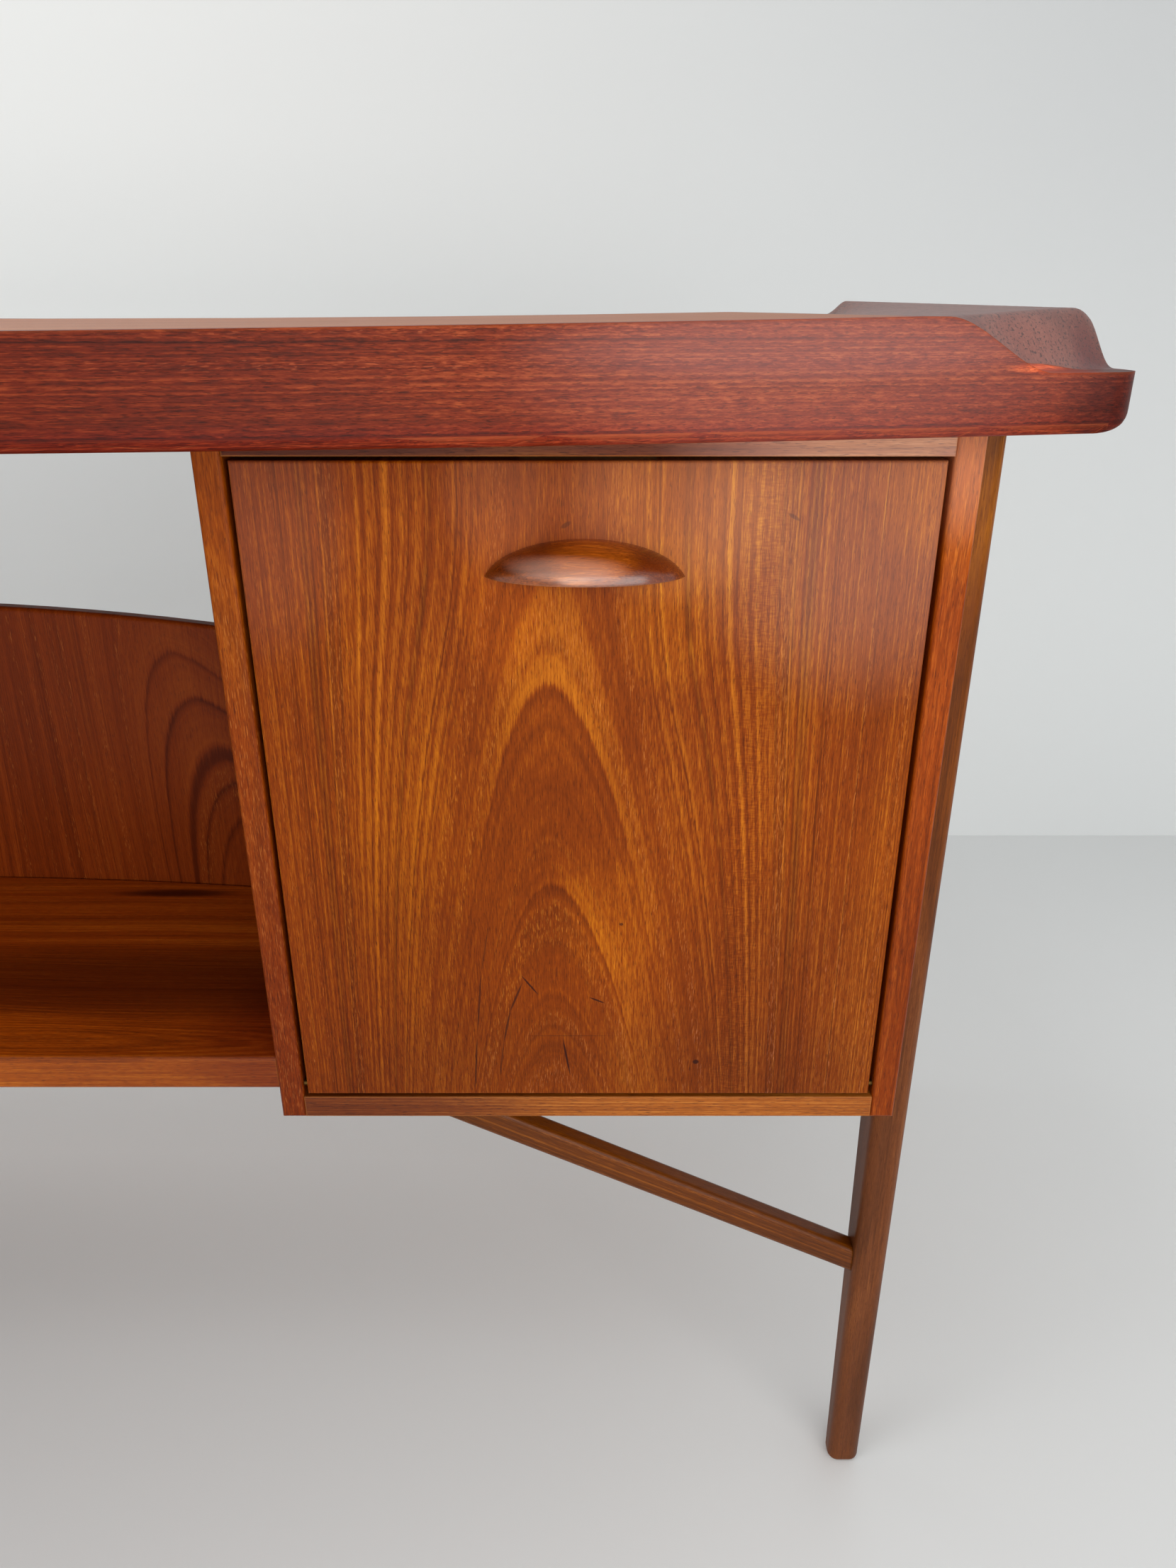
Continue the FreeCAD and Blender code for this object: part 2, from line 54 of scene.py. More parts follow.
# Fine texture of the wood
STREAK_LENGTH, STREAK_WIDTH = 0.06, 0.0011
FIBRE_LENGTH, FIBRE_WIDTH = 0.007, 0.0004
BROAD_LENGTH, BROAD_WIDTH, BROAD_SHARE = 0.40, 0.07, 0.5
HAIRLINE_WIDTH = 0.0011
RIPPLE_LENGTH, RIPPLE_WIDTH = 0.0009, 0.004
LINE_EDGE, LINE_CORE = 0.022, 0.004
LINE_LENGTH, LINE_WIDTH = 0.08, 0.004
LINE_PITCH = 0.7
EARLY_PITCH = 1.1
EARLY_START, EARLY_END = 0.54, 0.66
FLECK_START, FLECK_END = 0.61, 0.70
PORE_FALL = 0.08
DARK_TONE, MIDDLE_TONE, LIGHT_TONE = 0.15, 0.5, 0.85
MARK_COLOUR = (45, 16, 8)
MARK_CORE = 0.3
# Detail and roughness of the noises
COARSE_NOISE = (3.0, 0.6)
FINE_NOISE = (2.0, 0.6)
PORE_NOISE = (1.0, 0.4)
PLAIN_DETAIL = 1.0

# Surface of the wood
BEVEL_SAMPLES = 6
# Where the edges are paled: partly worn edges, partly a painted highlight on the rounded arrises
ARRIS_START, ARRIS_END = 0.985, 0.85
ARRIS_LENGTH, ARRIS_WIDTH = 0.05, 0.02
FIBRE_HEIGHT, PORE_HEIGHT = 0.5, -1.0
BUMP_STRENGTH, BUMP_DISTANCE = 0.3, 0.0001
POLISH_SPREAD = 0.12
WOOD_IOR = 1.45
COAT_ROUGHNESS = 0.2

BRACE_TILT = 26.4

# Metal
WORN_SCALE, WORN_DETAIL = 300.0, 3.0
WORN_SHADE = 0.8
WORN_ROUGHNESS = 0.2

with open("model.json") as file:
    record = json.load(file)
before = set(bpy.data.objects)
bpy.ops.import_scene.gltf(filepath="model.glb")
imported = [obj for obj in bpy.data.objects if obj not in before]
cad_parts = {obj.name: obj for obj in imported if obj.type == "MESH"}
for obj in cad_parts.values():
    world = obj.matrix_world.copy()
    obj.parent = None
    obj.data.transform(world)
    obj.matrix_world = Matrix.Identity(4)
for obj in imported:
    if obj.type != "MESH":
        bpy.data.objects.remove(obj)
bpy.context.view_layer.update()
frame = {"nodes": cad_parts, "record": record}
nodes = frame["nodes"]


def rgb(colour):
    """An sRGB colour of 0 to 255 as the linear colour that a socket takes."""
    linear = []
    for value in colour:
        share = value / 255
        linear.append(share / 12.92 if share <= 0.04045 else ((share + 0.055) / 1.055) ** 2.4)
    return (*linear, 1.0)


class Shader:
    """A material's node tree, with short ways to add nodes to it."""

    def __init__(self, name):
        self.material = bpy.data.materials.new(name)
        self.material.use_nodes = True
        self.tree = self.material.node_tree
        self.tree.nodes.clear()
        self.output = self.tree.nodes.new("ShaderNodeOutputMaterial")

    def add(self, kind, inputs=(), **settings):
        node = self.tree.nodes.new(kind)
        for key, value in settings.items():
            setattr(node, key, value)
        for key, value in dict(inputs).items():
            self.feed(node.inputs[key], value)
        return node

    def feed(self, socket, value):
        if isinstance(value, bpy.types.NodeSocket):
            self.tree.links.new(value, socket)
        else:
            socket.default_value = value

    def math(self, operation, a, b=0.0, c=0.0):
        return self.add("ShaderNodeMath", {0: a, 1: b, 2: c}, operation=operation).outputs[0]

    def sway(self, tone, value, share):
        """tone, moved by how far value lies from 0.5."""
        return self.math("MULTIPLY_ADD", self.math("SUBTRACT", value, 0.5), share, tone)

    def place(self):
        return self.add("ShaderNodeTexCoord").outputs["Object"]

    def split(self, vector):
        return self.add("ShaderNodeSeparateXYZ", {0: vector}).outputs

    def join(self, x, y, z):
        return self.add("ShaderNodeCombineXYZ", {0: x, 1: y, 2: z}).outputs[0]

    def noise(self, vector, scale=1.0, detail=2.0, roughness=0.5):
        inputs = {"Vector": vector, "Scale": scale, "Detail": detail, "Roughness": roughness}
        return self.add("ShaderNodeTexNoise", inputs).outputs[0]

    def noise_line(self, place, width, detail=2.0, roughness=0.5):
        inputs = {"W": place, "Scale": 1 / width, "Detail": detail, "Roughness": roughness}
        return self.add("ShaderNodeTexNoise", inputs, noise_dimensions="1D").outputs[0]

    def ramp(self, value, stops):
        node = self.add("ShaderNodeValToRGB", {0: value})
        elements = node.color_ramp.elements
        while len(elements) < len(stops):
            elements.new(0.5)
        for element, (place, colour) in zip(elements, stops):
            element.position = place
            element.color = colour
        return node.outputs[0]

    def step(self, value, low, high):
        """0 at low, 1 at high, and smooth between them."""
        inputs = {0: value, 1: low, 2: high, 3: 0.0, 4: 1.0}
        return self.add("ShaderNodeMapRange", inputs, interpolation_type="SMOOTHSTEP").outputs[0]

    def mix(self, share, a, b, blend="MIX"):
        node = self.add("ShaderNodeMix", data_type="RGBA", blend_type=blend)
        self.feed(node.inputs[0], share)
        self.feed(node.inputs[6], a)
        self.feed(node.inputs[7], b)
        return node.outputs[2]

    def finish(self, surface):
        self.tree.links.new(surface, self.output.inputs[0])
        return self.material


class Wood(Shader):
    """A wood's tree, which knows how a place lies along, across and into the board. tilt turns
    a sloping board level, and matched makes its left half mirror its right one."""

    def __init__(self, name, grain, tilt, matched):
        super().__init__(name)
        place = self.place()
        if tilt:
            turn = self.add("ShaderNodeVectorRotate",
                            {"Vector": place, "Angle": math.radians(tilt)},
                            rotation_type="Y_AXIS")
            place = turn.outputs[0]
        x, y, z = self.split(place)
        if matched:
            x = self.math("ABSOLUTE", x)
        order = {"x": (x, z, y), "z": (z, x, y), "y": (y, x, z), "x flat": (x, y, z)}
        self.along, self.across, self.into = order[grain]

    def stretched(self, length, width, detail=2.0, roughness=0.5):
        """Noise that is drawn out along the grain."""
        place = self.join(self.math("MULTIPLY", self.along, 1 / length),
                          self.math("MULTIPLY", self.across, 1 / width),
                          self.math("MULTIPLY", self.into, 1 / width))
        return self.noise(place, 1.0, detail, roughness)

    def far(self, centre, reach, angle=0):
        """How far a place lies from an ellipse's centre, squared, with 1 on the ellipse."""
        c, s = math.cos(math.radians(angle)), math.sin(math.radians(angle))
        x = self.math("SUBTRACT", self.across, centre[0])
        z = self.math("SUBTRACT", self.along, centre[1])
        run = self.math("ADD", self.math("MULTIPLY", x, c / reach[0]),
                        self.math("MULTIPLY", z, s / reach[0]))
        side = self.math("ADD", self.math("MULTIPLY", x, -s / reach[1]),
                         self.math("MULTIPLY", z, c / reach[1]))
        return self.math("ADD", self.math("MULTIPLY", run, run),
                         self.math("MULTIPLY", side, side))

    def add_mark(self, colour, centre, reach, angle, share):
        """A scratch or a dot on a board's face."""
        near = self.step(self.far(centre, reach, angle), 1.0, MARK_CORE)
        return self.mix(self.math("MULTIPLY", near, share), colour, rgb(MARK_COLOUR))

    def add_patch(self, colour, centre, reach, factor):
        """A soft patch that darkens or pales the wood by a factor of its colour: some give the
        wood's own tone, others are painted light, sheen and shade.
        """
        share = self.step(self.far(centre, reach), 1.0, 0.0)
        return self.mix(share, colour, (*factor, 1.0), "MULTIPLY")

    def add_painted_sheen(self, colour, centre, reach, tint, share):
        """A soft patch of painted sheen, where the colour is mixed towards a pale tint."""
        share = self.math("MULTIPLY", self.step(self.far(centre, reach), 1.0, 0.0), share)
        return self.mix(share, colour, rgb(tint))


def ring_radius(sh, pith, wave, arch, straight):
    """How far a place lies from the ring centre, and how far to the side of it."""
    bend = sh.math("MULTIPLY_ADD", sh.stretched(BEND_LENGTH, BEND_WIDTH), 2 * wave, -wave)
    side = sh.math("ADD", sh.math("SUBTRACT", sh.across, pith[0]), bend)
    if arch:
        base, curve, skew, lean, point = arch
        near = sh.step(sh.across, pith[0] - LEAN_START, pith[0] - LEAN_END)
        side = sh.math("MULTIPLY_ADD", sh.math("SUBTRACT", sh.along, base),
                       sh.math("MULTIPLY", near, lean), side)
        turned = sh.math("TANH", sh.math("MULTIPLY", side, SKEW_SHARPNESS))
        height = sh.math("MULTIPLY_ADD", turned, skew, sh.math("SUBTRACT", sh.along, base))
        height = sh.math("MAXIMUM", height, 0.0)
        off = sh.math("ABSOLUTE", side)
        if straight:
            near_edge, far_edge, top = straight
            height = sh.math("SMOOTH_MIN", height, top, STRAIGHT_BLEND)
        depth_squared = sh.math("MULTIPLY", height, curve)
        if straight:
            depth_squared = sh.math("MULTIPLY", depth_squared,
                                    sh.step(off, far_edge, near_edge))
        depth_squared = sh.math("MULTIPLY_ADD", off, point, depth_squared)
    else:
        depth_squared = sh.math("POWER", sh.math("ADD", -pith[1], bend), 2.0)
    return sh.math("SQRT", sh.math("MULTIPLY_ADD", side, side, depth_squared)), side


def figured(sh, rings, wander, radius, side, arch, figure, outer):
    """The rings with the figure's own arches in the middle, and what share of the fine
    lines shows."""
    base, curve = arch[:2]
    places = [math.sqrt(curve * (peak - base)) for peak, level in figure]
    reach = places[-1]
    stops = [(place / reach, (level, level, level, 1))
             for place, (peak, level) in zip(places, figure)]
    chosen = sh.ramp(sh.math("DIVIDE", wander, reach), stops)
    flank = sh.math("DIVIDE", sh.math("ABSOLUTE", side), radius)
    inner = sh.math("MULTIPLY", sh.step(radius, reach * INNER_START, reach * INNER_END),
                    sh.step(side, INNER_SIDE_START, INNER_SIDE_END))
    dull = sh.math("MAXIMUM", sh.step(flank, FLANK_START, FLANK_END), inner)
    chosen = sh.mix(dull, chosen, sh.math("MINIMUM", chosen, 0.5))
    fade = sh.step(wander, reach * OUTER_FADE, reach)
    quiet = sh.sway(0.5, rings, outer)
    rings = sh.mix(fade, sh.mix(FIGURE_RING_SHARE, chosen, rings), quiet)
    return rings, sh.math("MULTIPLY_ADD", fade, 1 - FIGURE_CALM, FIGURE_CALM)


def add_ripple(sh, tone, centre, reach, strength):
    """Short waves across the grain in a strip of that centre and reach."""
    waves = sh.math("SUBTRACT", sh.stretched(RIPPLE_LENGTH, RIPPLE_WIDTH, PLAIN_DETAIL), 0.5)
    off = sh.math("ABSOLUTE", sh.math("SUBTRACT", sh.across, centre))
    waves = sh.math("MULTIPLY", waves, sh.step(off, reach, 0.0))
    return sh.math("MULTIPLY_ADD", waves, strength, tone)


def wood(name, colours, grain="x", pith=(0.0, -0.3), ring=0.012, wave=0.006, tilt=0.0,
         matched=False, arch=None, straight=None, figure=None, outer=1.0, contrast=0.5,
         hair=0.40, streak=0.45, fibre=0.45, ripple=None, lines=0.5, flecks=0.5, pores=0.4,
         pore_length=0.005, pore_size=0.0004, pore_level=0.39, pore_colour=(60, 22, 8),
         fleck_colour=(226, 142, 66), roughness=0.42, gloss=0.22, coat=0.0, arris=0.0015,
         arris_highlight_and_wear=0.3, marks=(), patches=(), painted_sheens=()):
    """Teak or oak.

    colours are its dark, middle and light tone. pith is how far the ring centre lies across
    and into the board, ring is the rings' width and wave how far they bend. With arch, a
    height, a curve, a skew, a lean and a point, the rings meet the face as nested arches over
    that height, and figure lists their peaks. straight gives how far from their middle the
    arches begin and end to turn into straight grain, and over which height. outer is the
    share of contrast that the rings outside the figure keep. contrast, hair, streak and fibre
    say how strongly rings, hairlines, streaks and fibres show, and lines, flecks and pores
    how strongly dark lines, light flecks and pores do."""
    sh = Wood(name, grain, tilt, matched)
    radius, side = ring_radius(sh, pith, wave, arch, straight)
    streaks = sh.stretched(STREAK_LENGTH, STREAK_WIDTH, *COARSE_NOISE)
    fibres = sh.stretched(FIBRE_LENGTH, FIBRE_WIDTH, *FINE_NOISE)
    wander = sh.math("MULTIPLY_ADD", streaks, STREAK_PULL, radius)
    ring_place = sh.math("ADD", wander, RING_OFFSET)
    rings = sh.noise_line(ring_place, ring, *COARSE_NOISE)
    calm = 1.0
    if figure:
        rings, calm = figured(sh, rings, wander, radius, side, arch, figure, outer)

    tone = sh.sway(0.5, rings, contrast)
    hairlines = sh.noise_line(ring_place, HAIRLINE_WIDTH, *FINE_NOISE)
    hairlines = sh.math("SUBTRACT", hairlines, 0.5)
    tone = sh.math("MULTIPLY_ADD", sh.math("MULTIPLY", hairlines, calm), hair, tone)
    tone = sh.sway(tone, streaks, streak)
    tone = sh.sway(tone, fibres, fibre)
    tone = sh.sway(tone, sh.stretched(BROAD_LENGTH, BROAD_WIDTH), BROAD_SHARE)
    if ripple:
        tone = add_ripple(sh, tone, *ripple)
    dark, middle, light = (rgb(colour) for colour in colours)
    colour = sh.ramp(tone, [(DARK_TONE, dark), (MIDDLE_TONE, middle), (LIGHT_TONE, light)])

    # Patches that pale the wood, among them painted light and sheen, come before its flecks and
    # pores, and those that darken, among them painted shade, after
    for patch in patches:
        if patch[2][0] >= 1:
            colour = sh.add_patch(colour, *patch)
    crossing = sh.math("SUBTRACT", sh.noise_line(ring_place, ring / LINE_PITCH), 0.5)
    line = sh.math("MULTIPLY", sh.step(sh.math("ABSOLUTE", crossing), LINE_EDGE, LINE_CORE),
                   sh.stretched(LINE_LENGTH, LINE_WIDTH))
    line = sh.math("MULTIPLY", line, calm)
    colour = sh.mix(sh.math("MULTIPLY", line, lines), colour, dark)
    early = sh.noise_line(ring_place, ring / EARLY_PITCH, PLAIN_DETAIL)
    early = sh.step(early, EARLY_START, EARLY_END)
    pore_noise = sh.stretched(pore_length, pore_size, *PORE_NOISE)
    fleck = sh.math("MULTIPLY", sh.step(pore_noise, FLECK_START, FLECK_END), early)
    colour = sh.mix(sh.math("MULTIPLY", fleck, flecks), colour, rgb(fleck_colour))
    pore = sh.step(pore_noise, pore_level, pore_level - PORE_FALL)
    colour = sh.mix(sh.math("MULTIPLY", pore, pores), colour, rgb(pore_colour))

    for patch in patches:
        if patch[2][0] < 1:
            colour = sh.add_patch(colour, *patch)
    for mark in marks:
        colour = sh.add_mark(colour, *mark)
    # Painted sheens, highlights and reflections go on last
    for painted_sheen in painted_sheens:
        colour = sh.add_painted_sheen(colour, *painted_sheen)

    soft_normal = sh.add("ShaderNodeBevel", {"Radius": arris},
                         samples=BEVEL_SAMPLES).outputs[0]
    true_normal = sh.add("ShaderNodeNewGeometry").outputs["True Normal"]
    facing = sh.add("ShaderNodeVectorMath", {0: soft_normal, 1: true_normal},
                    operation="DOT_PRODUCT").outputs["Value"]
    # Along the edges the colour is paled towards the fleck colour: partly worn edges, partly a
    # painted highlight on the rounded arris
    edge = sh.math("MULTIPLY", sh.step(facing, ARRIS_START, ARRIS_END),
                   sh.stretched(ARRIS_LENGTH, ARRIS_WIDTH))
    colour = sh.mix(sh.math("MULTIPLY", edge, 2 * arris_highlight_and_wear), colour, rgb(fleck_colour))

    height = sh.math("MULTIPLY_ADD", fibres, FIBRE_HEIGHT,
                     sh.math("MULTIPLY", pore, PORE_HEIGHT))
    bump = sh.add("ShaderNodeBump", {"Strength": BUMP_STRENGTH, "Distance": BUMP_DISTANCE,
                                     "Height": height, "Normal": soft_normal}).outputs[0]
    polish = sh.math("MULTIPLY_ADD", streaks, POLISH_SPREAD, roughness - POLISH_SPREAD / 2)
    surface = sh.add("ShaderNodeBsdfPrincipled", {
        "Base Color": colour, "Roughness": polish, "Normal": bump, "IOR": WOOD_IOR,
        "Specular IOR Level": gloss, "Coat Weight": coat, "Coat Roughness": COAT_ROUGHNESS})
    return sh.finish(surface.outputs[0])


def metal(name, colour, roughness):
    sh = Shader(name)
    worn = sh.noise(sh.place(), WORN_SCALE, WORN_DETAIL)
    tint = sh.mix(worn, rgb(colour), rgb([value * WORN_SHADE for value in colour]))
    gloss = sh.math("MULTIPLY_ADD", worn, WORN_ROUGHNESS, roughness)
    surface = sh.add("ShaderNodeBsdfPrincipled", {"Base Color": tint, "Metallic": 1.0,
                                                  "Roughness": gloss})
    return sh.finish(surface.outputs[0])


# Heights at which a ring peaks, each with its tone, where 0.5 is the wood's middle tone
FLAP_FIGURE = [(0.210, 0.50), (0.4120, 0.50), (0.4150, 0.36), (0.4165, 0.66), (0.4200, 0.52),
               (0.4320, 0.54), (0.4720, 0.50), (0.4785, 0.40), (0.4805, 0.22), (0.4825, 0.74),
               (0.4880, 0.86), (0.4960, 0.74), (0.5080, 0.56), (0.5250, 0.50), (0.5450, 0.44),
               (0.5560, 0.50), (0.5780, 0.42), (0.5815, 0.30), (0.5835, 0.05), (0.5855, 0.74),
               (0.5900, 0.90), (0.5990, 0.84), (0.6030, 0.56), (0.6070, 0.84), (0.6180, 0.66),
               (0.6350, 0.48), (0.6550, 0.36), (0.6800, 0.52), (0.7100, 0.44), (0.7600, 0.48)]
BACK_FIGURE = [(0.210, 0.50), (0.4240, 0.50), (0.4290, 0.15), (0.4330, 0.60), (0.4490, 0.50),
               (0.4525, 0.10), (0.4560, 0.60), (0.4670, 0.50), (0.4710, -0.30), (0.4770, 0.10),
               (0.4820, 0.65), (0.5080, 0.48), (0.5117, 0.05), (0.5160, 0.70), (0.5390, 0.48),
               (0.5430, 0.05), (0.5470, 0.75), (0.5600, 0.50), (0.5900, 0.50)]

# Scratches and dots: centre across and along the grain, reach, angle in degrees and share
FLAP_MARKS = [((0.4496, 0.4199), (0.0084, 0.0006), -54, 0.9),
              ((0.4847, 0.4105), (0.0052, 0.0006), -24, 0.9),
              ((0.4684, 0.3741), (0.0135, 0.0007), -81, 0.9),
              ((0.5381, 0.3708), (0.0020, 0.0017), 0, 0.9),
              ((0.4969, 0.4566), (0.0012, 0.0010), 0, 0.7),
              ((0.4422, 0.4122), (0.0110, 0.0007), 69, 0.75),
              ((0.4370, 0.3939), (0.0120, 0.0007), 79, 0.75),
              ((0.4336, 0.3730), (0.0130, 0.0005), 83, 0.55),
              ((0.4269, 0.4412), (0.0150, 0.0005), 80, 0.5),
              ((0.4228, 0.4088), (0.0220, 0.0006), 85, 0.7),
              ((0.4196, 0.3694), (0.0200, 0.0006), 86, 0.7),
              ((0.4701, 0.3879), (0.0280, 0.0004), 0, 0.35),
              ((0.4704, 0.6573), (0.0030, 0.0012), 30, 0.5),
              ((0.5694, 0.6607), (0.0036, 0.0010), -30, 0.6)]

# Patches, some of them the wood's own tone and some painted light, sheen and shade: centre
# across and along the grain, reach, and the factor on red, green and blue
FLAP_PATCHES = [((0.3300, 0.6000), (0.0600, 0.1600), (0.88, 0.84, 0.8)),
                # Painted sheen at the upper right
                ((0.6050, 0.6650), (0.0900, 0.1100), (1.25, 1.60, 2.0)),
                ((0.4900, 0.4580), (0.0300, 0.0480), (1.22, 1.36, 1.3)),
                ((0.4700, 0.5850), (0.0380, 0.0560), (1.15, 1.22, 1.2)),
                # Painted shade over the lower part
                ((0.4800, 0.3400), (0.2400, 0.0800), (0.80, 0.82, 1.2)),
                # Painted shade at the lower right
                ((0.5900, 0.4000), (0.0900, 0.1100), (0.80, 0.80, 1.4)),
                # Painted light and sheen along the top, under the band, from the middle to the
                # right
                ((0.5260, 0.6720), (0.0500, 0.0600), (1.45, 1.85, 2.2)),
                ((0.6300, 0.6750), (0.0320, 0.0420), (1.45, 1.70, 1.7)),
                # Painted light on the upper part, from the middle to the left
                ((0.5170, 0.6200), (0.0300, 0.0450), (1.40, 1.70, 1.6)),
                ((0.4420, 0.6250), (0.0250, 0.0500), (1.35, 1.45, 1.2)),
                ((0.3600, 0.6200), (0.0300, 0.0700), (1.22, 1.35, 1.1)),
                # Painted sheen along the right edge
                ((0.6350, 0.4400), (0.0300, 0.1600), (1.25, 1.45, 2.0)),
                # Painted shade at the lower left
                ((0.3750, 0.4100), (0.0700, 0.1200), (0.70, 0.62, 0.5)),
                ((0.4200, 0.4800), (0.1000, 0.1400), (0.98, 0.99, 0.4))]
# Painted shade on the left and middle of the rail above the flaps, and a painted sheen on its
# right
RAIL_PATCHES = [((0.6925, 0.3500), (0.0400, 0.1300), (0.42, 0.26, 0.3)),
                ((0.6925, 0.6180), (0.0400, 0.1120), (2.4, 3.7, 12.0)),
                ((0.6925, 0.5150), (0.0400, 0.0700), (0.62, 0.42, 0.38)),
                # Painted shade along the rail's lower edge above the gap
                ((0.6868, 0.6380), (0.0040, 0.0150), (0.68, 0.55, 0.50)),
                ((0.3400, 0.3400), (0.0400, 0.1200), (0.58, 0.46, 0.4)),
                ((0.3400, 0.5600), (0.0400, 0.1400), (1.4, 1.5, 1.4))]
CABINET_PATCHES = [((0.3180, 0.6450), (0.0300, 0.0900), (1.24, 1.55, 1.4)),
                   # Painted sheen at the top of the outer side's front edge
                   ((0.6420, 0.6400), (0.0300, 0.2100), (1.50, 1.62, 2.0)),
                   ((0.6420, 0.6850), (0.0300, 0.0620), (1.45, 1.85, 2.4)),
                   ((0.3180, 0.3700), (0.0300, 0.1800), (0.78, 0.70, 0.8))]
# The pull's golden middle, partly its own tone and partly a painted highlight, and a painted
# highlight along its nose
PULL_PATCHES = [((0.6450, 0.4820), (0.0120, 0.0240), (2.8, 4.0, 4.6)),
                ((0.6365, 0.4600), (0.0040, 0.0260), (2.4, 3.6, 9.0))]
# Darker at the tip: partly end grain, partly painted shade where the face turns away from the
# light
BAND_PATCHES = [((0.7100, 0.6900), (0.0300, 0.0390), (0.38, 0.26, 0.32)),
                # Painted highlights along the top arris, low on the face and in a thin line near
                # the tip
                ((0.7335, 0.5450), (0.0090, 0.1000), (1.24, 1.45, 1.5)),
                ((0.7090, 0.5450), (0.0110, 0.0950), (1.25, 1.46, 1.5)),
                ((0.7232, 0.6620), (0.0028, 0.0300), (3.2, 3.1, 3.0)),
                ((0.7150, 0.2800), (0.0500, 0.1700), (0.75, 0.62, 0.55)),
                # Painted sheen on the middle and right
                ((0.7280, 0.5600), (0.0170, 0.1200), (1.15, 1.45, 1.5)),
                # Painted shade along the rounded lower edge
                ((0.7000, 0.3500), (0.0090, 0.7000), (0.85, 0.55, 0.5))]
LEG_PATCHES = [((0.6600, 0.6600), (0.0500, 0.3000), (1.25, 1.05, 0.20)),
               ((0.6600, 0.7000), (0.0500, 0.0900), (1.12, 1.25, 1.3))]
SHELF_PATCHES = [((-0.2145, 0.1500), (0.0040, 0.9000), (0.70, 0.80, 0.75)),
                 ((-0.1380, 0.2600), (0.0480, 0.3600), (0.40, 0.34, 0.4)),
                 ((-0.1900, 0.3300), (0.0600, 0.0900), (0.60, 0.42, 0.6)),
                 ((-0.1950, 0.0900), (0.0350, 0.1600), (1.5, 1.7, 1.5)),
                 ((-0.0330, 0.1950), (0.0070, 0.0500), (0.22, 0.18, 0.3))]
# Painted sheen on the flat at the front corner, and painted shade on the rounded outer end
LIP_PATCHES = [((0.6580, -0.2280), (0.0280, 0.0260), (1.45, 1.45, 1.5)),
               ((0.6850, -0.2330), (0.0130, 0.0400), (0.66, 0.24, 0.24))]

# Painted sheens, highlights and reflections: centre across and along the grain, reach, tint and
# share
# Painted sheen at the flaps' upper right, and painted light along their top edge under the band
FLAP_PAINTED_SHEENS = [((0.6050, 0.6700), (0.1000, 0.1050), (178, 132, 124), 0.24),
              ((0.5170, 0.6720), (0.0600, 0.0550), (215, 150, 115), 0.17),
              ((0.4420, 0.6720), (0.0300, 0.0450), (205, 140, 105), 0.10),
              ((0.3350, 0.6650), (0.0500, 0.0800), (190, 130, 110), 0.10)]
# Painted sheen on the right of the rail above the flaps
RAIL_PAINTED_SHEENS = [((0.6925, 0.6150), (0.0400, 0.1150), (208, 168, 158), 0.34)]
# Painted sheen at the top of the outer side's front edge
CABINET_PAINTED_SHEENS = [((0.6420, 0.6930), (0.0300, 0.0500), (215, 160, 136), 0.26)]
# Painted sheen on the right half of the edge band
BAND_PAINTED_SHEENS = [((0.7220, 0.5650), (0.0340, 0.1300), (160, 114, 114), 0.20),
              ((0.7320, 0.5600), (0.0150, 0.1200), (172, 124, 124), 0.16)]
# Painted highlight along the pull's nose
PULL_PAINTED_SHEENS = [((0.6415, 0.4700), (0.0060, 0.0300), (238, 195, 175), 0.30)]
# Painted reflection of the pale room on the lips, seen at a grazing angle
LIP_PAINTED_SHEENS = [((0.6500, -0.0500), (0.0900, 0.3800), (158, 134, 134), 0.20)]


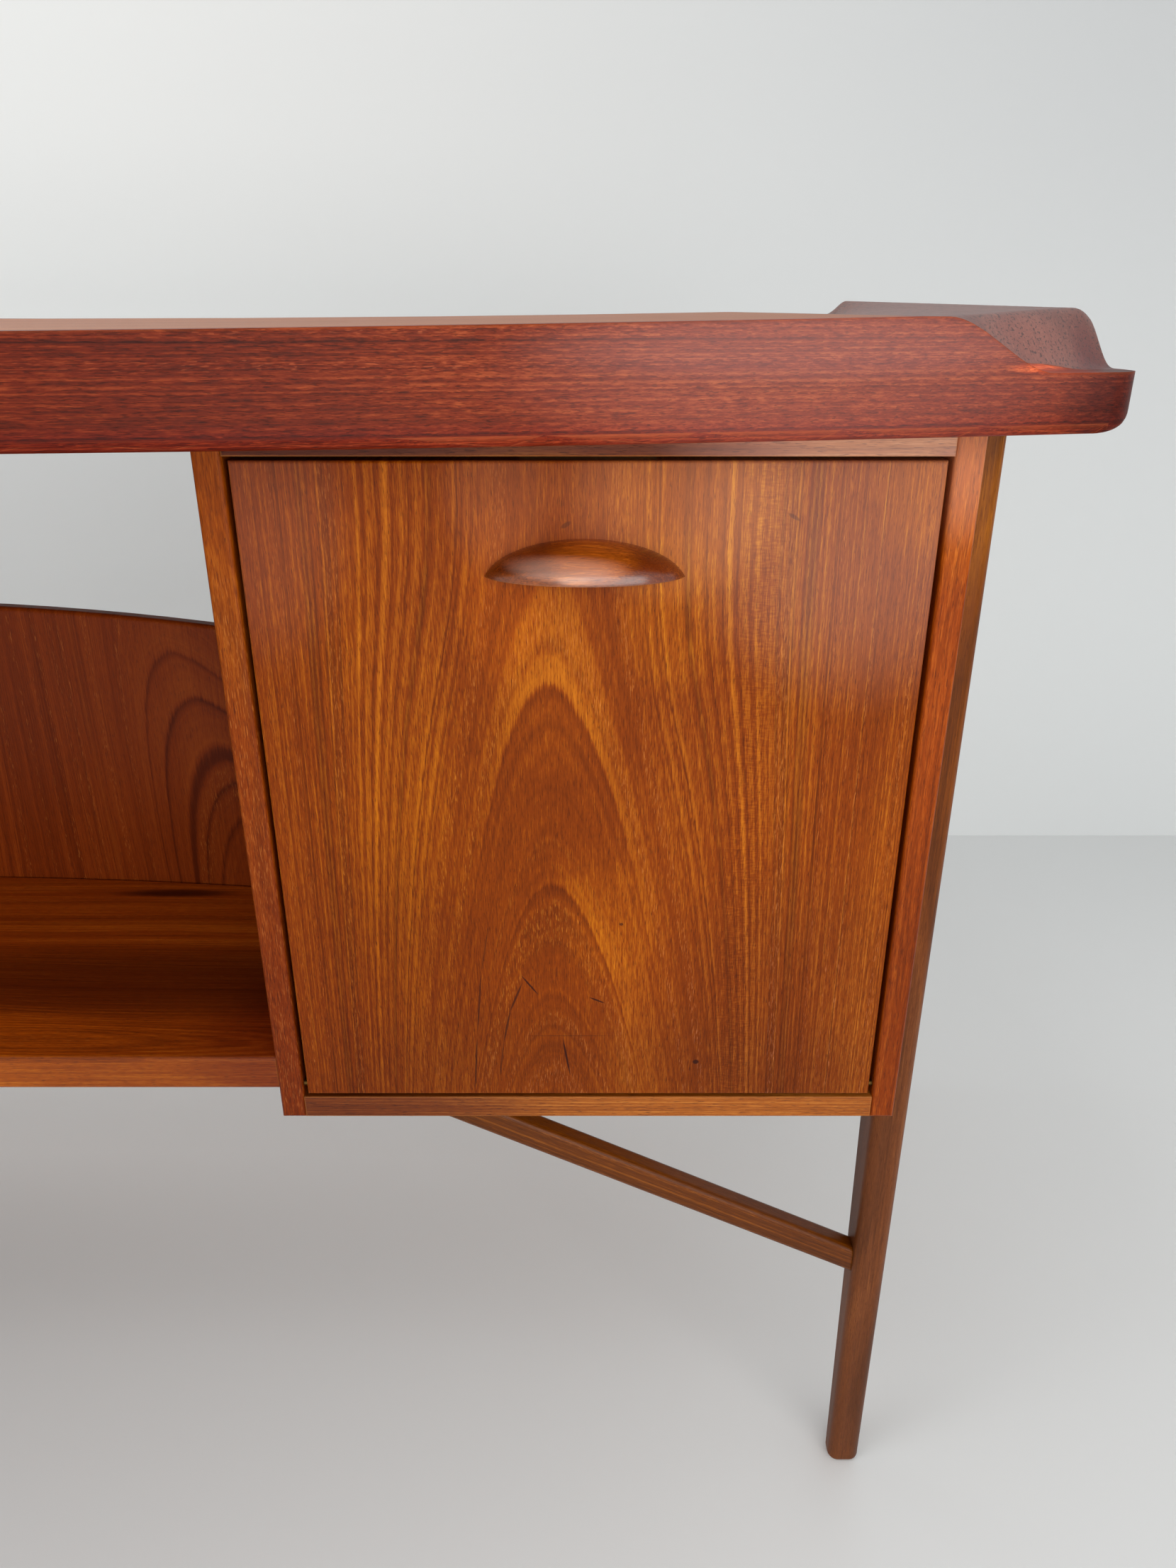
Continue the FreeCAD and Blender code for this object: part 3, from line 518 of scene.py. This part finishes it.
def make_materials():
    """A material for each material slot of the record, and one for each side's braces."""
    made = {}
    made["teak_top"] = wood(
        "TeakTop", ((116, 54, 16), (156, 86, 38), (192, 122, 66)), "x flat",
        pith=(0.1, -0.08), ring=0.009, roughness=0.44, gloss=0.36)
    made["teak_edge"] = wood(
        "TeakEdge", ((62, 16, 2), (114, 36, 8), (160, 72, 34)), "x",
        pith=(0.60, 0.1), ring=0.005, contrast=0.4, hair=0.85, streak=0.85, fibre=0.45,
        flecks=0.35, pores=0.5, pore_length=0.030, pore_size=0.00045, pore_level=0.41,
        pore_colour=(44, 12, 4), fleck_colour=(192, 96, 54), gloss=0.14, arris=0.002,
        patches=BAND_PATCHES, painted_sheens=BAND_PAINTED_SHEENS)
    made["teak_lip"] = wood(
        "TeakLip", ((78, 36, 27), (106, 58, 46), (130, 82, 66)), "y",
        pith=(0.3, -0.3), ring=0.010, matched=True, contrast=0.3, hair=0.25, pores=0.85,
        pore_length=0.012, pore_size=0.0008, pore_level=0.42, pore_colour=(36, 12, 10),
        fleck_colour=(160, 100, 80), roughness=0.42, gloss=0.35,
        patches=LIP_PATCHES, painted_sheens=LIP_PAINTED_SHEENS)
    made["teak_cabinet"] = wood(
        "TeakCabinet", ((86, 30, 1), (124, 48, 2), (160, 78, 16)), "z",
        pith=(0.3, -0.8), ring=0.007, contrast=0.3, streak=0.32, fibre=0.9, flecks=0.25,
        pores=0.5, gloss=0.12, patches=CABINET_PATCHES, painted_sheens=CABINET_PAINTED_SHEENS)
    made["teak_rail"] = wood(
        "TeakRail", ((82, 32, 4), (128, 64, 14), (170, 104, 42)), "x",
        pith=(0.30, 0.0), ring=0.007, flecks=0.12, pores=0.6,
        patches=RAIL_PATCHES, painted_sheens=RAIL_PAINTED_SHEENS)
    made["teak_flap"] = wood(
        "TeakFlap", ((76, 25, 0), (130, 54, 2), (190, 106, 18)), "z",
        pith=(0.4675, -0.3), ring=0.005, wave=0.0015, matched=True,
        arch=(0.20, 0.0168, 0.018, 0.0, 0.0015), straight=(0.040, 0.150, 0.425),
        figure=FLAP_FIGURE, outer=0.48, contrast=0.5, hair=0.60, streak=0.22, fibre=0.60,
        ripple=(0.558, 0.018, 0.35), lines=0.9, flecks=0.33, pores=0.6, pore_length=0.004,
        pore_size=0.0003, pore_colour=(70, 24, 4), gloss=0.10, arris_highlight_and_wear=0.1,
        marks=FLAP_MARKS, patches=FLAP_PATCHES, painted_sheens=FLAP_PAINTED_SHEENS)
    made["teak_front"] = wood(
        "TeakFront", ((92, 34, 4), (142, 64, 10), (186, 104, 30)), "x",
        pith=(0.5, -0.3), ring=0.010)
    made["teak_pull"] = wood(
        "TeakPull", ((60, 20, 2), (112, 44, 4), (170, 88, 14)), "x",
        pith=(0.632, -0.205), ring=0.005, matched=True, contrast=1.1, flecks=0.1,
        pore_colour=(48, 16, 4), roughness=0.24, gloss=0.5, coat=0.8, arris=0.001,
        patches=PULL_PATCHES, painted_sheens=PULL_PAINTED_SHEENS)
    made["teak_leg"] = wood(
        "TeakLeg", ((64, 32, 12), (104, 56, 26), (140, 84, 42)), "z",
        pith=(0.64, -0.4), ring=0.007, matched=True, flecks=0.25, gloss=0.14,
        patches=LEG_PATCHES)
    for side, tilt in (("right", -BRACE_TILT), ("left", BRACE_TILT)):
        made[side + "_brace"] = wood(
            "TeakBrace_" + side, ((48, 20, 0), (98, 47, 3), (148, 82, 20)), "x",
            pith=(0.64, -0.2), ring=0.006, tilt=tilt, contrast=0.5, flecks=0.12,
            roughness=0.32, gloss=0.2, arris_highlight_and_wear=0.08)
    made["teak_shelf"] = wood(
        "TeakShelf", ((84, 27, 2), (152, 64, 4), (204, 110, 26)), "x flat",
        pith=(-0.2, -0.03), ring=0.014, wave=0.016, contrast=0.4, flecks=0.2,
        patches=SHELF_PATCHES)
    made["teak_back"] = wood(
        "TeakBack", ((74, 22, 0), (108, 40, 4), (134, 60, 12)), "z",
        pith=(0.330, -0.3), ring=0.010, wave=0.004, matched=True,
        arch=(0.20, 0.052, 0.0, 0.35, 0.012), figure=BACK_FIGURE, outer=0.6, contrast=0.9,
        flecks=0.15, gloss=0.14)
    made["oak_inside"] = wood(
        "OakInside", ((150, 112, 68), (186, 150, 104), (206, 174, 128)), "y",
        pith=(0.0, -0.5), ring=0.006, pore_colour=(120, 88, 52), fleck_colour=(220, 190, 146),
        roughness=0.5)
    made["brass"] = metal("Brass", (112, 82, 42), 0.45)
    made["steel"] = metal("Steel", (168, 168, 166), 0.32)
    return made


def apply_materials(materials):
    for row in frame["record"]["subparts"]:
        data = nodes[row["node"]].data
        data.materials.clear()
        key = row["material_slot"]
        if row["node"].endswith("_brace"):
            key = row["node"].split("_")[0] + "_brace"
        data.materials.append(materials[key])


def stage_sheet(name, corners, material):
    data = bpy.data.meshes.new(name)
    data.from_pydata(corners, [], [(0, 1, 2, 3)])
    data.materials.append(material)
    piece = bpy.data.objects.new(name, data)
    bpy.context.scene.collection.objects.link(piece)


def floor_material():
    """Plain and pale, with painted shade: a little darker on the left in front and towards the
    wall.
    """
    sh = Shader("StageFloor")
    place = sh.place()
    cloud = sh.noise(place, FLOOR_CLOUD_SCALE)
    clouded = rgb([value - FLOOR_CLOUD_DEPTH for value in FLOOR_COLOUR])
    colour = sh.mix(cloud, rgb(FLOOR_COLOUR), clouded)
    x, y, z = sh.split(place)
    # Painted shade: darker on the left in front and towards the wall
    front = sh.math("MULTIPLY", sh.step(x, *FLOOR_SHADE_X), sh.step(y, *FLOOR_SHADE_Y))
    dim = sh.math("MAXIMUM", sh.step(y, 0.0, WALL_Y), front)
    colour = sh.mix(dim, colour, rgb(FLOOR_SHADE_COLOUR))
    surface = sh.add("ShaderNodeBsdfPrincipled", {"Base Color": colour,
                                                  "Roughness": FLOOR_ROUGHNESS})
    return sh.finish(surface.outputs[0])


def wall_material():
    """Plain and pale, with painted shade: darker towards the right, and more so higher up. From
    behind it can't be seen, so that it hides nothing.
    """
    sh = Shader("StageWall")
    x, y, z = sh.split(sh.place())
    # Painted shade: darker towards the right, and more so higher up
    high = sh.math("MULTIPLY_ADD", sh.step(z, *WALL_SHADE_Z), WALL_SHADE_RISE, WALL_SHADE_LOW)
    dim = sh.math("MULTIPLY", sh.step(x, *WALL_SHADE_X), high)
    colour = sh.mix(dim, rgb(WALL_COLOUR), rgb(WALL_SHADE_COLOUR))
    surface = sh.add("ShaderNodeBsdfDiffuse", {"Color": colour}).outputs[0]
    clear = sh.add("ShaderNodeBsdfTransparent").outputs[0]
    back = sh.add("ShaderNodeNewGeometry").outputs["Backfacing"]
    mixed = sh.add("ShaderNodeMixShader", {0: back, 1: surface, 2: clear})
    return sh.finish(mixed.outputs[0])


def make_stage():
    far = STAGE_REACH
    stage_sheet("StageFloor", [(-far, -far, 0), (far, -far, 0), (far, far, 0), (-far, far, 0)],
                floor_material())
    stage_sheet("StageWall", [(-far, WALL_Y, 0), (far, WALL_Y, 0), (far, WALL_Y, WALL_TOP),
                              (-far, WALL_Y, WALL_TOP)], wall_material())


def area_light(name, place, aim, size, power, colour):
    data = bpy.data.lights.new(name, "AREA")
    data.shape = "RECTANGLE"
    data.size, data.size_y = size
    data.energy = power
    data.color = rgb(colour)[:3]
    light = bpy.data.objects.new(name, data)
    light.location = place
    light.rotation_euler = (Vector(aim) - Vector(place)).to_track_quat("-Z", "Y").to_euler()
    bpy.context.scene.collection.objects.link(light)


def make_light():
    world = bpy.data.worlds.new("Room")
    world.use_nodes = True
    shade = world.node_tree.nodes["Background"]
    shade.inputs[0].default_value = rgb(ROOM_COLOUR)
    shade.inputs[1].default_value = ROOM_STRENGTH
    bpy.context.scene.world = world
    area_light("Window", (1.2, -2.8, 1.0), aim=(0.5, -0.2, 0.6), size=(3.4, 1.5), power=58,
               colour=(255, 252, 248))
    area_light("Ceiling", (-1.3, 0.0, 2.6), aim=(0.0, 0.1, 0.4), size=(3.2, 2.4), power=50,
               colour=(255, 255, 255))


def make_camera():
    data = bpy.data.cameras.new("Camera")
    data.lens = CAMERA_LENS
    data.sensor_width = SENSOR_WIDTH
    camera = bpy.data.objects.new("Camera", data)
    camera.location = CAMERA_PLACE
    camera.rotation_euler = (math.radians(90 - CAMERA_PITCH), 0, 0)
    bpy.context.scene.collection.objects.link(camera)
    bpy.context.scene.camera = camera


apply_materials(make_materials())
make_stage()
make_light()
make_camera()
bpy.context.scene.view_settings.view_transform = "Standard"
